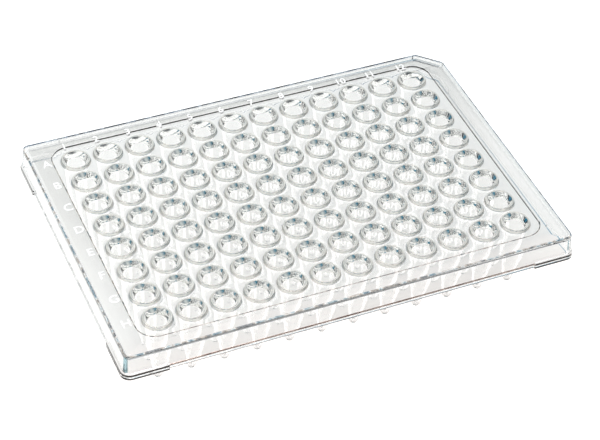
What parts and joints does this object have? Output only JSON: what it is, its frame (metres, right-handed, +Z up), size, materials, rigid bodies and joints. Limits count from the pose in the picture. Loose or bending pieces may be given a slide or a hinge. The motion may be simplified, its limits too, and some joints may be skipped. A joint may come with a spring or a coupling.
{
  "type": "well plate",
  "caption": "Clear moulded plate with a grid of conical tubes under a thin deck, raised sealing rims, a label border, a short skirt with corner feet and a cut corner.",
  "frame": {"origin": "on the bench under the middle of the plate, in the plane of the tube tips", "axes": "+X along a row of wells, from the first column to the last; +Y across the rows, towards the first row; +Z up, out of the well mouths"},
  "size_m": [0.1248, 0.0854, 0.0208],
  "materials": {
    "clear_plastic": "clear and glossy, as moulded"
  },
  "bodies": {
    "root": {"well_plate": "clear_plastic"}
  },
  "joints": []
}
